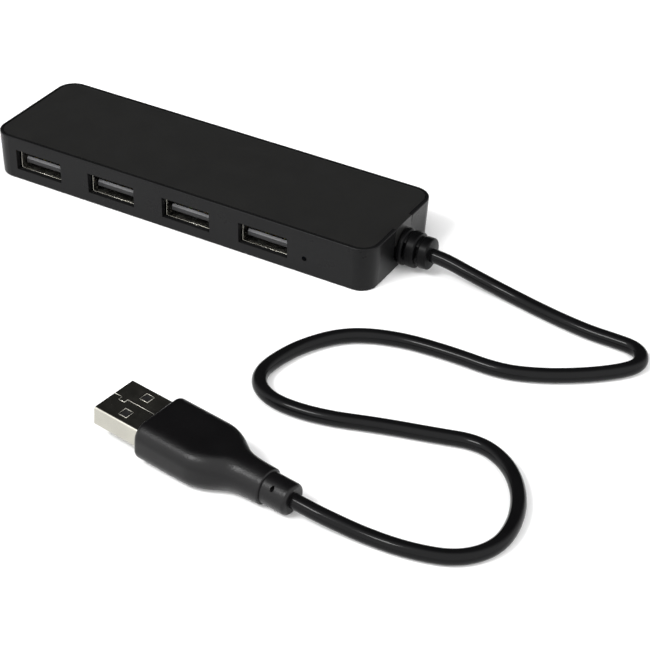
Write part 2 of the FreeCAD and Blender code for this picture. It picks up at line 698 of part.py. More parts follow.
def controller_chip():
    """A 28-lead package with its body under the board."""
    body = new_body("hub_controller_chip")
    outline = sketch_on(body, "chip_outline", "XY_Plane", "chip_bottom")
    rectangle(outline, "-chip_half_length", "chip_half_length", "-chip_half_width",
              "chip_half_width")
    block = pad(body, outline, "chip_thickness")
    round_edges(body, block, "chip_bevel", "chip_edge", at_height(DIMS["chip_bottom"]),
                kind="PartDesign::Chamfer")
    body.Placement.Base = Vector(DIMS["chip_x"], DIMS["chip_y"], 0)


def controller_leads():
    """Gull-wing leads along both long sides of the chip, ending flat on the board."""
    metal = DIMS["lead_thickness"]
    top = DIMS["board_underside"]
    root = DIMS["chip_half_width"]
    middle = DIMS["chip_bottom"] + DIMS["chip_thickness"] / 2
    knee = root + DIMS["lead_knee"]
    toe = root + DIMS["lead_toe"]
    inside = knee - metal
    outline = [(root, middle), (knee, middle), (knee, top - metal), (toe, top - metal), (toe, top),
               (inside, top), (inside, middle + metal), (root, middle + metal)]
    leads = []
    for side in (1, -1):
        for index in range(DIMS["lead_rows"]):
            x = (DIMS["chip_x"] + (index - (DIMS["lead_rows"] - 1) / 2) * DIMS["lead_pitch"]
                 - DIMS["lead_width"] / 2)
            points = [Vector(x, DIMS["chip_y"] + side * y, z) for y, z in outline]
            face = Part.Face(Part.makePolygon(points + points[:1]))
            leads.append(face.extrude(Vector(DIMS["lead_width"], 0, 0)))
    add_shape("controller_leads", Part.makeCompound(leads))


def crystal_can():
    body = new_body("crystal_can")
    for name, half_length, half_width, corner, bottom, height in (
            ("crystal_case", "crystal_half_length", "crystal_half_width", "crystal_corner",
             "crystal_bottom", "crystal_height"),
            ("crystal_flange", "flange_half_length", "flange_half_width", "flange_corner",
             "flange_bottom", "flange_height")):
        outline = sketch_on(body, name, "XY_Plane", bottom)
        rounded_rectangle(outline, half_length, half_width, corner)
        pad(body, outline, height)
    body.Placement.Base = Vector(DIMS["crystal_x"], DIMS["chip_y"], 0)


def reservoir_capacitors():
    """Two aluminium can capacitors on their plastic feet."""
    underside = DIMS["board_underside"]
    cans = []
    for x in DIMS["can_left_x"], DIMS["can_right_x"]:
        foot_bottom = underside - DIMS["can_foot_height"]
        foot = box(x, DIMS["chip_y"], foot_bottom, DIMS["can_foot_side"], DIMS["can_foot_side"],
                   DIMS["can_foot_height"])
        can_bottom = foot_bottom - DIMS["can_length"]
        can = Part.makeCylinder(DIMS["can_radius"], DIMS["can_length"],
                                Vector(x, DIMS["chip_y"], can_bottom))
        rim = [edge for edge in can.Edges if edge.BoundBox.ZMax < can_bottom + 0.01]
        cans.append(can.makeFillet(DIMS["can_round"], rim).fuse(foot).removeSplitter())
    add_shape("reservoir_capacitors", Part.makeCompound(cans))


def chip_components(label, places, height):
    """Small two-terminal parts soldered flat to the board, with plated ends."""
    underside = DIMS["board_underside"]
    length = DIMS["small_part_length"]
    width = DIMS["small_part_width"]
    plating = DIMS["small_part_plating"]
    blocks = []
    for x, y in places:
        middle = box(x, y, underside - height, length, width, height)
        ends = [box(x + side * (length - DIMS["small_part_end"]) / 2 + side * plating, y,
                    underside - height - plating, DIMS["small_part_end"], width + 2 * plating,
                    height + plating) for side in (-1, 1)]
        blocks.append(middle.fuse(ends).removeSplitter())
    add_shape(label, Part.makeCompound(blocks))


def status_light():
    """A 3 mm lamp lying behind its hole, with two leads that turn up to the board."""
    body = new_body("status_led")
    for name, radius, offset, length in (("led_dome", "led_radius", "led_flange_front", "led_dome"),
                                         ("led_flange", "led_flange_radius", "led_flange_back",
                                          "led_flange")):
        outline = sketch_on(body, name, "XZ_Plane", offset)
        circle(outline, "zero", "led_height", radius)
        feature = pad(body, outline, length)
        if name == "led_dome":
            round_edges(body, feature, "led_dome_round", "led_round",
                        lambda edge: edge.BoundBox.YMax < -DIMS["led_tip"] + 0.01)
    body.Placement.Base = Vector(DIMS["led_x"], 0, 0)
    leads = []
    back = -DIMS["led_flange_back"]
    wire = DIMS["led_lead"]
    run = DIMS["led_lead_run"]
    low = DIMS["led_height"] - wire / 2
    for side in (-1, 1):
        x = DIMS["led_x"] + side * DIMS["led_lead_pitch"] / 2
        leg = box(x, back + run / 2, low, wire, run, wire)
        rise = box(x, back + run - wire / 2, low, wire, wire, DIMS["board_underside"] - low)
        leads.append(leg.fuse(rise).removeSplitter())
    add_shape("led_leads", Part.makeCompound(leads))


# ---------------------------------------------------------------------------------------------
# Ports
# ---------------------------------------------------------------------------------------------

def port_shell(port):
    """Folded sheet socket with four spring tabs and two board legs."""
    body = new_body("port_" + str(port) + "_shell")
    outline = sketch_on(body, "socket_outline", "XZ_Plane", "shell_rear")
    rounded_rectangle(outline, "shell_half_width", "shell_half_height", "shell_corner",
                      centre_y="port_axis_height")
    pad(body, outline, "shell_length")
    inside = sketch_on(body, "socket_inside", "XZ_Plane", "shell_rear")
    rounded_rectangle(inside, "shell_inner_half_width", "shell_inner_half_height",
                      "shell_inner_corner", centre_y="port_axis_height")
    pocket(body, inside, "through_cut", both_ways=True)

    slots = sketch_on(body, "spring_windows", "XY_Plane", "port_axis_height")
    for left, right in (("-spring_slot_outer", "-spring_slot_inner"),
                        ("spring_slot_inner", "spring_slot_outer")):
        rectangle(slots, left, right, "-spring_slot_front", "-spring_root")
    pocket(body, slots, "through_cut", both_ways=True)
    for side in ("spring_x", "-spring_x"):
        strips = sketch_on(body, "spring_strips", "YZ_Plane", side)
        for wall in ("low", "high"):
            polygon(strips, [("-spring_foot", wall + "_outer"), ("-spring_foot", wall + "_inner"),
                             ("-spring_crest", wall + "_crest"), ("-spring_tip", wall + "_tip"),
                             ("-spring_tip", wall + "_tip_back"),
                             ("-spring_crest", wall + "_crest_back")])
        pad(body, strips, "spring_width", both_ways=True)

    legs = sketch_on(body, "board_legs", "XY_Plane", "leg_bottom")
    rectangle(legs, "shell_inner_half_width", "shell_half_width", "-leg_front", "-leg_rear")
    rectangle(legs, "-shell_half_width", "-shell_inner_half_width", "-leg_front", "-leg_rear")
    pad(body, legs, "leg_rise")
    place_port(body, port)


def place_port(body, port):
    body.Placement.Base = Vector(DIMS["port_x_" + str(port)], 0, 0)
    body.setExpression("Placement.Base.x", "Dims.port_x_" + str(port))


def port_tongue(port):
    """Insulator: a block that closes the back of the socket and a tongue with four grooves."""
    body = new_body("port_" + str(port) + "_tongue")
    outline = sketch_on(body, "tongue_outline", "XZ_Plane", "zero")
    rectangle(outline, "-tongue_half_width", "tongue_half_width", "tongue_bottom", "tongue_top")
    tongue = pad(body, outline, "tongue_front")
    round_edges(body, tongue, "tongue_bevel", "tongue_chamfer",
                lambda edge: (edge.BoundBox.YMax < -DIMS["tongue_front"] + 0.01
                              and edge.BoundBox.XLength > 5), kind="PartDesign::Chamfer")
    block = sketch_on(body, "tongue_block", "XZ_Plane", "zero")
    rounded_rectangle(block, "block_half_width", "block_half_height", "shell_inner_corner",
                      centre_y="port_axis_height")
    pad(body, block, "tongue_root")
    grooves = sketch_on(body, "contact_grooves", "XY_Plane", "tongue_top")
    for contact in CONTACTS:
        rectangle(grooves, contact + "_groove_low", contact + "_groove_high", "-groove_front",
                  "-tongue_root")
    pocket(body, grooves, "groove_depth")
    place_port(body, port)


def port_contact_springs(port):
    """Four bowed contact strips lying in the tongue's grooves."""
    body = new_body("port_" + str(port) + "_contact_springs")
    for contact in CONTACTS:
        profile = sketch_on(body, contact + "_profile", "YZ_Plane", contact + "_middle")
        polygon(profile, [("-contact_root", "contact_low"), ("-contact_root", "contact_top"),
                          ("-contact_crest", "contact_crest_top"), ("-contact_tip", "contact_top"),
                          ("-contact_tip", "contact_low"),
                          ("-contact_crest", "contact_crest_low")])
        pad(body, profile, "contact_width", both_ways=True)
    place_port(body, port)


def port_contact_tails(port):
    """The four contacts behind the block, rising to the board and ending in a flat foot."""
    body = new_body("port_" + str(port) + "_contact_tails")
    for contact in CONTACTS:
        profile = sketch_on(body, contact + "_tail", "YZ_Plane", contact + "_middle")
        polygon(profile, [("zero", "contact_low"), ("tail_rise_rear", "contact_low"),
                          ("tail_rise_rear", "tail_foot_low"), ("tail_end", "tail_foot_low"),
                          ("tail_end", "board_underside"), ("tail_rise_front", "board_underside"),
                          ("tail_rise_front", "contact_top"), ("zero", "contact_top")])
        pad(body, profile, "tail_width", both_ways=True)
    place_port(body, port)


# ---------------------------------------------------------------------------------------------
# Strain relief, conductors and cord
# ---------------------------------------------------------------------------------------------

def strain_relief():
    """A turned form: inner flange, neck through the wall, three beads with grooves between."""
    body = new_body("cord_strain_relief")
    profile = sketch_on(body, "relief_profile", "XZ_Plane")
    steps = [("relief_inner_end", "relief_flange_end", "relief_flange_radius"),
             ("relief_flange_end", "bead_a_start", "relief_neck_radius"),
             ("bead_a_start", "bead_a_end", "bead_a_radius"),
             ("bead_a_end", "bead_b_start", "relief_core_radius"),
             ("bead_b_start", "bead_b_end", "bead_b_radius"),
             ("bead_b_end", "bead_c_start", "relief_core_radius"),
             ("bead_c_start", "bead_c_end", "bead_c_radius")]
    corners = [("relief_inner_end", "zero")]
    for start, end, radius in steps:
        corners += [(start, radius), (end, radius)]
    corners.append(("bead_c_end", "zero"))
    polygon(profile, corners)
    turned = body.newObject("PartDesign::Revolution", "relief_turned")
    turned.Profile = profile
    turned.ReferenceAxis = (profile, ["H_Axis"])
    turned.Angle = 360
    finish_feature(body, turned)

    def rims(*names):
        """A test for the outer circles of the beads with these names."""
        places = [DIMS[name + end] for name in names for end in ("_start", "_end")]
        return lambda edge: (edge.Curve.TypeId == "Part::GeomCircle"
                             and edge.Curve.Radius > DIMS["bead_c_radius"] - 0.1
                             and min(abs(edge.Curve.Center.x - place) for place in places) < 0.01)

    beads = round_edges(body, turned, "outer_beads", "bead_round", rims("bead_b", "bead_c"))
    round_edges(body, beads, "first_bead", "first_bead_round", rims("bead_a"))
    body.Placement.Base = Vector(0, 0, DIMS["relief_height"])
    body.setExpression("Placement.Base.z", "Dims.relief_height")


def conductors():
    """Four insulated wires from the strain relief to their solder joints on the board."""
    height = DIMS["relief_height"]
    joint = DIMS["board_underside"] - DIMS["solder_height"]
    joints = []
    for index, name in enumerate(("wire_power_red", "wire_data_white", "wire_data_green",
                                  "wire_ground_black")):
        y = (index - 1.5) * DIMS["conductor_pitch"]
        spread = (index - 1.5) * DIMS["joint_pitch"]
        route = [(DIMS["relief_inner_end"], y, height), (DIMS["conductor_straight_end"], y, height),
                 (DIMS["conductor_bend_x"], y * DIMS["conductor_spread"],
                  height - DIMS["conductor_first_drop"]),
                 (DIMS["joint_x"], spread, height - DIMS["conductor_drop"]),
                 (DIMS["joint_x"], spread, joint)]
        add_shape(name, tube(route, DIMS["conductor_radius"], name))
        joints.append(Part.makeCone(DIMS["joint_tip_radius"], DIMS["joint_foot_radius"],
                                    DIMS["solder_height"],
                                    Vector(DIMS["joint_x"], spread, joint)))
    add_shape("cable_solder_joints", Part.makeCompound(joints))


def cord():
    last_run = [on_plug_axis(DIMS["collar_end"] + DIMS["cord_last_run"]),
                on_plug_axis(DIMS["collar_end"])]
    route = CORD_ROUTE + last_run
    print("cord meets the plug through", [round(value, 2) for value in last_run[0] + last_run[1]])
    add_shape("cord", tube(route, DIMS["cord_radius"], "cord"))


def plug_placement():
    """Where the plug's own frame lies: X from the tip towards the cord, Z to the seam side."""
    return FreeCAD.Placement(
        Vector(DIMS["plug_tip_x"], DIMS["plug_tip_y"], DIMS["plug_tip_height"]),
        FreeCAD.Rotation(DIMS["plug_heading"], DIMS["plug_pitch"], 0))


def on_plug_axis(place):
    """A point on the plug's axis at a distance from its tip."""
    point = plug_placement().multVec(Vector(place, 0, 0))
    return point.x, point.y, point.z


# ---------------------------------------------------------------------------------------------
# Plug
# ---------------------------------------------------------------------------------------------

def plug_shell():
    """Folded sheet tube with a keyed seam along its upper side and four latch holes."""
    body = new_body("plug_shell")
    outline = sketch_on(body, "plug_outline", "YZ_Plane")
    rounded_rectangle(outline, "plug_half_width", "plug_half_height", "plug_corner")
    pad(body, outline, "plug_shell_length")
    inside = sketch_on(body, "plug_inside", "YZ_Plane")
    rounded_rectangle(inside, "plug_inner_half_width", "plug_inner_half_height",
                      "plug_inner_corner")
    pocket(body, inside, "plug_through_cut", both_ways=True)
    latches = sketch_on(body, "latch_holes", "XY_Plane")
    for low, high in (("latch_inner", "latch_outer"), ("-latch_outer", "-latch_inner")):
        rectangle(latches, "latch_start", "latch_end", low, high)
    pocket(body, latches, "through_cut", both_ways=True)
    seam = sketch_on(body, "plug_seam", "XY_Plane", "plug_half_height")
    upper_side = [("zero", "seam_line_high"), ("first_key_start_high", "seam_line_high"),
                  ("first_key_start_high", "seam_key_high"), ("first_key_end_low", "seam_key_high"),
                  ("first_key_end_low", "seam_line_high"), ("second_key_start_high", "seam_line_high"),
                  ("second_key_start_high", "seam_key_high"), ("plug_shell_length", "seam_key_high")]
    lower_side = [("plug_shell_length", "seam_key_low"), ("second_key_start_low", "seam_key_low"),
                  ("second_key_start_low", "seam_line_low"), ("first_key_end_high", "seam_line_low"),
                  ("first_key_end_high", "seam_key_low"), ("first_key_start_low", "seam_key_low"),
                  ("first_key_start_low", "seam_line_low"), ("zero", "seam_line_low")]
    polygon(seam, upper_side + lower_side)
    pocket(body, seam, "seam_depth")
    body.Placement = plug_placement()


def plug_insulator():
    """Tongue against the seam side and a block that closes the shell inside the grip."""
    body = new_body("plug_insulator")
    tongue = sketch_on(body, "insulator_side", "XZ_Plane")
    polygon(tongue, [("insulator_tip", "zero"), ("insulator_block_start", "zero"),
                     ("insulator_block_start", "-insulator_top"),
                     ("insulator_end", "-insulator_top"), ("insulator_end", "insulator_top"),
                     ("insulator_tip", "insulator_top")])
    pad(body, tongue, "insulator_width", both_ways=True)
    body.Placement = plug_placement()


def plug_contacts():
    """Four flat contact pads on the open face of the insulator."""
    body = new_body("plug_contacts")
    for contact in CONTACTS:
        bar = sketch_on(body, contact + "_pad", "XY_Plane", "-pad_thickness")
        rectangle(bar, "pad_start", "pad_end", contact + "_pad_low", contact + "_pad_high")
        pad(body, bar, "pad_thickness")
    body.Placement = plug_placement()


def plug_grip():
    """Flat-topped moulded grip that narrows to a round neck."""
    body = new_body("plug_grip")
    outline = sketch_on(body, "grip_outline", "YZ_Plane", "plug_exposed")
    rounded_rectangle(outline, "grip_half_width", "grip_half_height", "grip_side_round")
    block = pad(body, outline, "grip_block_length")
    round_edges(body, block, "grip_front", "grip_front_round",
                lambda edge: edge.BoundBox.XMax < DIMS["plug_exposed"] + 0.01)
    sections = []
    for index in range(len(NECK)):
        number_text = str(index)
        section = sketch_on(body, "neck_section_" + number_text, "YZ_Plane",
                            "neck_at_" + number_text)
        rounded_rectangle(section, "neck_half_width_" + number_text,
                          "neck_half_height_" + number_text, "neck_round_" + number_text)
        sections.append(section)
    neck = body.newObject("PartDesign::AdditiveLoft", "neck")
    neck.Profile = sections[0]
    neck.Sections = sections[1:]
    neck.Ruled = True
    finish_feature(body, neck)
    seat = sketch_on(body, "shell_seat", "YZ_Plane", "plug_shell_length")
    rounded_rectangle(seat, "plug_half_width", "plug_half_height", "plug_corner")
    pocket(body, seat, "seat_depth")
    body.Placement = plug_placement()


def plug_collar():
    """Round collar on the neck, with a small blind hole in its upper near side."""
    body = new_body("plug_collar")
    outline = sketch_on(body, "collar_outline", "YZ_Plane", "neck_end")
    circle(outline, "zero", "zero", "collar_radius")
    ring = pad(body, outline, "collar_length")
    round_edges(body, ring, "collar_rounding", "collar_round",
                lambda edge: edge.BoundBox.XMin > DIMS["collar_end"] - 0.01)
    hole = sketch_on(body, "collar_hole", "XZ_Plane", "collar_hole_bottom")
    circle(hole, "collar_hole_at", "collar_hole_rise", "collar_hole_radius")
    outward = body.newObject("PartDesign::Pocket", "collar_hole_pocket")
    outward.Profile = hole
    outward.Length = DIMS["collar_radius"]
    outward.Reversed = True
    before = body.Shape.Volume
    finish_feature(body, outward)
    if outward.Shape.Volume > before - 0.1:
        raise RuntimeError("the collar hole removed nothing")
    body.Placement = plug_placement()


# ---------------------------------------------------------------------------------------------
# Build, check and write
# ---------------------------------------------------------------------------------------------

fill_sheet()
bottom_case()
top_cover()
circuit_board()
controller_chip()
controller_leads()
crystal_can()
reservoir_capacitors()
chip_components("ceramic_capacitors", CERAMIC_CAPACITORS, DIMS["capacitor_height"])
chip_components("resistors", RESISTORS, DIMS["resistor_height"])
status_light()
for port in range(1, PORT_COUNT + 1):
    port_shell(port)
    port_tongue(port)
    port_contact_springs(port)
    port_contact_tails(port)
strain_relief()
conductors()
cord()
plug_shell()
plug_insulator()
plug_contacts()
plug_grip()
plug_collar()
doc.recompute()

for item in doc.Objects:
    if "Invalid" in item.State or "Error" in item.State:
        raise RuntimeError(item.Label + " is in state " + str(item.State))
for part in SUB_PARTS:
    if part.Shape.isNull() or not part.Shape.isValid() or part.Shape.Volume < 1e-3:
        raise RuntimeError(part.Label + " has no sound solid")
    bounds = part.Shape.optimalBoundingBox(False, False)
    print(part.Label, "solids", len(part.Shape.Solids), "volume", round(part.Shape.Volume, 2),
          "x", round(bounds.XMin, 2), round(bounds.XMax, 2),
          "y", round(bounds.YMin, 2), round(bounds.YMax, 2),
          "z", round(bounds.ZMin, 2), round(bounds.ZMax, 2))
    part.Shape.exportStep("parts/" + part.Label + ".step")
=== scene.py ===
import math

import bpy
from mathutils import Matrix, Vector


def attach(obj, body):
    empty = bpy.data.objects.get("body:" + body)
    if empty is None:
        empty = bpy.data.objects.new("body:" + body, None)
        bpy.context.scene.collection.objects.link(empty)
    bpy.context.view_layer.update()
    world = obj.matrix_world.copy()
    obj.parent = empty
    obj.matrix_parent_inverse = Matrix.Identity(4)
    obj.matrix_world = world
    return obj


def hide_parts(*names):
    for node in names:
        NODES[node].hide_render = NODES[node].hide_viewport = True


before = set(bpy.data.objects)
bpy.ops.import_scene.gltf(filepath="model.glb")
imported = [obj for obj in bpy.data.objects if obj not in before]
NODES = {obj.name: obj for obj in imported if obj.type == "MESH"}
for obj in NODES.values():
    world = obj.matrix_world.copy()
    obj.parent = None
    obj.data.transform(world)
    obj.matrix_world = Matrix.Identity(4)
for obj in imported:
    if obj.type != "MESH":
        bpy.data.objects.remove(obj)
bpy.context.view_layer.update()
MM = 0.001


# ---------------------------------------------------------------------------------------------
# Camera
# ---------------------------------------------------------------------------------------------

CAMERA_AZIMUTH = math.radians(28.332)
CAMERA_HEIGHT = math.radians(34.338)
CAMERA_ROLL = math.radians(2.105)
CAMERA_DISTANCE = 0.44003
CAMERA_LENS = 110.18  # mm
CAMERA_SENSOR = 36.0  # mm
CAMERA_SHIFT = 0.005
CAMERA_TARGET = Vector((0.048881, -0.031364, 0.0))


def add_camera():
    """A camera in front of the ports, turned towards the cord's end and looking down."""
    back = Vector((math.sin(CAMERA_AZIMUTH) * math.cos(CAMERA_HEIGHT),
                   -math.cos(CAMERA_AZIMUTH) * math.cos(CAMERA_HEIGHT),
                   math.sin(CAMERA_HEIGHT)))
    right = Vector((math.cos(CAMERA_AZIMUTH), math.sin(CAMERA_AZIMUTH), 0.0))
    up = back.cross(right)
    turned_right = right * math.cos(CAMERA_ROLL) + up * math.sin(CAMERA_ROLL)
    turned_up = up * math.cos(CAMERA_ROLL) - right * math.sin(CAMERA_ROLL)
    data = bpy.data.cameras.new("camera")
    data.lens = CAMERA_LENS
    data.sensor_width = CAMERA_SENSOR
    data.shift_x = CAMERA_SHIFT
    data.clip_start = 0.01
    camera = bpy.data.objects.new("camera", data)
    axes = Matrix((turned_right, turned_up, back)).transposed()
    camera.matrix_world = Matrix.Translation(CAMERA_TARGET + back * CAMERA_DISTANCE) @ axes.to_4x4()
    bpy.context.scene.collection.objects.link(camera)
    bpy.context.scene.camera = camera


add_camera()


# ---------------------------------------------------------------------------------------------
# Cord: the route's points are the spline's control points
# ---------------------------------------------------------------------------------------------

CORD_RADIUS = 0.00165
CORD_ROUTE = [
    (0.05994, 0.0, 0.00515), (0.0617, 0.0, 0.00515), (0.065, -0.0001, 0.00475),
    (0.0706, -0.0004, 0.00365), (0.0806, -0.0006, 0.0017), (0.0915, -0.0032, 0.0017),
    (0.101, -0.0047, 0.0017), (0.1075, -0.0047, 0.0017), (0.1118, -0.0049, 0.0017),
    (0.1143, -0.0064, 0.0017), (0.1155, -0.0091, 0.0017), (0.115, -0.012, 0.0017),
    (0.1122, -0.0156, 0.0017), (0.1068, -0.0204, 0.0017), (0.0995, -0.0252, 0.0017),
    (0.091, -0.0286, 0.0017), (0.079, -0.0282, 0.0017), (0.0665, -0.0292, 0.0017),
    (0.0564, -0.0336, 0.0017), (0.0504, -0.0424, 0.0017), (0.0479, -0.0512, 0.0017),
    (0.048, -0.0572, 0.0017), (0.0514, -0.0616, 0.0017), (0.0574, -0.0636, 0.0017),
    (0.067, -0.0627, 0.0017), (0.078, -0.0589, 0.0017), (0.0888, -0.056, 0.0017),
    (0.0983, -0.0532, 0.0017), (0.1063, -0.0568, 0.0017), (0.1122, -0.0642, 0.0017),
    (0.1152, -0.073, 0.0017), (0.1151, -0.0814, 0.0017), (0.1102, -0.0879, 0.0017),
    (0.1015, -0.0905, 0.0017), (0.0924, -0.0911, 0.00175), (0.0844, -0.0916, 0.0029),
    (0.08037, -0.09164, 0.00342), (0.0764, -0.09115, 0.00361),
]


def add_cord():
    curve = bpy.data.curves.new("cord_jacket", "CURVE")
    curve.dimensions = "3D"
    spline = curve.splines.new("NURBS")
    spline.points.add(len(CORD_ROUTE) - 1)
    for point, place in zip(spline.points, CORD_ROUTE):
        point.co = (*place, 1.0)
        point.radius = CORD_RADIUS
    spline.order_u = 3
    spline.use_endpoint_u = True
    curve.resolution_u = 14
    curve.bevel_depth = 1.0  # times the radius of each point
    curve.bevel_resolution = 8
    curve.use_fill_caps = True
    piece = bpy.data.objects.new("cord_jacket", curve)
    bpy.context.scene.collection.objects.link(piece)
    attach(piece, "root")
    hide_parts("cord")
    return piece


cord_jacket = add_cord()


# ---------------------------------------------------------------------------------------------
# Detailed pieces: plug grip, strain relief, painted highlight lines along the plug's sheet edges
# ---------------------------------------------------------------------------------------------

PLUG_TIP = Vector((0.03076, -0.08548, 0.00586))
PLUG_HEADING = math.radians(-7.08)
PLUG_PITCH = math.radians(2.8)

# The grip along the plug's axis, in mm: (place from the tip, half width, half height, round).
GRIP_START = 11.75
GRIP_FRONT_ROUND = 1.0
GRIP_STATIONS = [
    (11.75, 7.85, 4.4, 3.3), (18.0, 7.85, 4.4, 3.3), (23.0, 7.85, 4.4, 3.3),
    (25.4, 7.75, 4.39, 3.32), (27.5, 7.2, 4.35, 3.4), (29.2, 6.45, 4.3, 3.6),
    (30.6, 5.6, 4.24, 3.8), (32.2, 4.72, 4.14, 3.95), (34.2, 4.2, 4.04, 3.98),
    (37.0, 3.98, 3.94, 3.9), (40.0, 3.9, 3.88, 3.86),
]
GRIP_END_ROUND = 0.35
GRIP_FRONT_STEPS = 8
GRIP_BODY_STEPS = 70
GRIP_BACK_STEPS = 5

# The strain relief along the case's axis, in mm: (start, end, radius, rim round). The webs
# between the beads are cut down to the core in a short slot on either side.
RELIEF_HEIGHT = 5.4
RELIEF_STEPS = [
    (48.6, 50.6, 4.0, 0.2), (50.6, 52.6, 3.5, 0.0), (52.6, 54.05, 4.45, 0.5),
    (54.45, 56.95, 4.3, 0.5), (57.54, 59.94, 3.8, 0.45),
]
RELIEF_WEBS = [(54.0, 54.5, 4.0), (56.9, 57.6, 3.55)]
RELIEF_CORE = 2.8
SLOT_MIDDLE = math.radians(16.0)
SLOT_HALF = math.radians(27.0)
SLOT_RAMP = math.radians(8.0)
RELIEF_RINGS = 200
RELIEF_SIDES = 72

# The sockets' first middle, their pitch and the plane of their front edges, in mm.
PORT_FIRST = -39.08
PORT_PITCH = 21.09
SOCKET_FRONT = -13.96
SOCKET_EDGE_LEFT = -6.4
SOCKET_EDGE_RIGHT = 6.2
SOCKET_EDGE_TOP = 7.3
SOCKET_EDGE_BOTTOM = 2.64

# Thickness of the bright edges, in mm.
SEAM_EDGE = 0.12
THIN_EDGE = 0.1

# The plug's seam and latch holes in its own frame, in mm.
PLUG_TOP = 2.25
SEAM_PATH = [(0.05, 0.2), (1.95, 0.2), (1.95, -0.84), (3.45, -0.84), (3.45, 0.2), (10.85, 0.2),
             (10.85, -0.84), (11.7, -0.84)]
LATCH_START = 5.0
LATCH_END = 7.05
LATCH_MIDDLE = 3.245
LATCH_HALF_WIDTH = 1.125


def plug_frame():
    """The plug's own frame: X from the tip towards the cord, Z to the seam side."""
    turn = Matrix.Rotation(PLUG_HEADING, 4, "Z") @ Matrix.Rotation(PLUG_PITCH, 4, "Y")
    return Matrix.Translation(PLUG_TIP) @ turn


def along(stations, place):
    """The values at a place between the stations, on smooth (Hermite) curves through them."""
    last = len(stations) - 2
    index = max(i for i in range(last + 1) if i == 0 or stations[i][0] <= place)
    before, after = stations[index], stations[index + 1]
    span = after[0] - before[0]
    t = min(1.0, max(0.0, (place - before[0]) / span))
    values = []
    for k in range(1, len(before)):
        slopes = []
        for i in (index, index + 1):
            low, high = stations[max(0, i - 1)], stations[min(last + 1, i + 1)]
            slopes.append((high[k] - low[k]) / (high[0] - low[0]))
        values.append((2 * t ** 3 - 3 * t ** 2 + 1) * before[k] + (t ** 3 - 2 * t ** 2 + t) * span
                      * slopes[0] + (3 * t ** 2 - 2 * t ** 3) * after[k]
                      + (t ** 3 - t ** 2) * span * slopes[1])
    return values


def round_section(half_width, half_height, radius, steps=14):
    """Points around a rectangle with round corners, as (y, z)."""
    points = []
    corners = ((1, -1), (1, 1), (-1, 1), (-1, -1))
    for index, (side, rise) in enumerate(corners):
        for step in range(steps):
            angle = (index - 1 + step / (steps - 1)) * math.pi / 2
            points.append((side * (half_width - radius) + radius * math.cos(angle),
                           rise * (half_height - radius) + radius * math.sin(angle)))
    return points


def skin(name, rings, matrix, sharp=38.0):
    """A closed mesh through rings of (x, y, z) points in mm, smooth except at sharp edges."""
    count = len(rings[0])
    vertices = [tuple(value * MM for value in point) for ring in rings for point in ring]
    faces = [tuple(range(count))[::-1]]
    for row in range(len(rings) - 1):
        for i in range(count):
            j = (i + 1) % count
            faces.append((row * count + i, row * count + j, (row + 1) * count + j,
                          (row + 1) * count + i))
    faces.append(tuple(range((len(rings) - 1) * count, len(rings) * count)))
    mesh = bpy.data.meshes.new(name)
    mesh.from_pydata(vertices, [], faces)
    mesh.polygons.foreach_set("use_smooth", [True] * len(mesh.polygons))
    mesh.set_sharp_from_angle(angle=math.radians(sharp))
    piece = bpy.data.objects.new(name, mesh)
    piece.matrix_world = matrix
    bpy.context.scene.collection.objects.link(piece)
    return piece


def rounding(distance, radius):
    """How far a rounded rim lies inside its full size at a distance from the end."""
    if distance >= radius:
        return 0.0
    return radius - math.sqrt(radius ** 2 - (radius - distance) ** 2)


def add_grip():
    """The moulded grip: flat-topped, rounded at the front, drawn in to a round neck."""
    start, end = GRIP_START, GRIP_STATIONS[-1][0]
    quarter = math.pi / 2
    front = [start + GRIP_FRONT_ROUND * (1 - math.cos(quarter * step / GRIP_FRONT_STEPS))
             for step in range(GRIP_FRONT_STEPS + 1)]
    body_start = start + GRIP_FRONT_ROUND
    body_length = end - GRIP_END_ROUND - body_start
    body = [body_start + body_length * step / GRIP_BODY_STEPS
            for step in range(1, GRIP_BODY_STEPS + 1)]
    back = [end - GRIP_END_ROUND * math.cos(quarter * step / GRIP_BACK_STEPS)
            for step in range(1, GRIP_BACK_STEPS + 1)]
    rings = []
    for place in front + body + back:
        half_width, half_height, radius = along(GRIP_STATIONS, place)
        inset = (rounding(place - start, GRIP_FRONT_ROUND)
                 + rounding(end - place, GRIP_END_ROUND))
        section = round_section(half_width - inset, half_height - inset, radius - inset)
        rings.append([(place, y, z) for y, z in section])
    piece = skin("plug_grip_detail", rings, plug_frame())
    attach(piece, "root")
    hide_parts("plug_grip")
    return piece


def relief_radius(place, angle):
    """The strain relief's radius at a place along it and an angle from +Y towards +Z."""
    from_side = abs(math.asin(math.sin(angle)) - SLOT_MIDDLE)
    in_slot = min(1.0, max(0.0, (SLOT_HALF - from_side) / SLOT_RAMP))
    radius = RELIEF_CORE
    for start, end, web in RELIEF_WEBS:
        if start <= place <= end:
            radius = web + (RELIEF_CORE - web) * in_slot
    for start, end, full, rim in RELIEF_STEPS:
        if start <= place <= end:
            inset = rounding(place - start, rim) + rounding(end - place, rim)
            radius = max(radius, full - inset)
    return radius


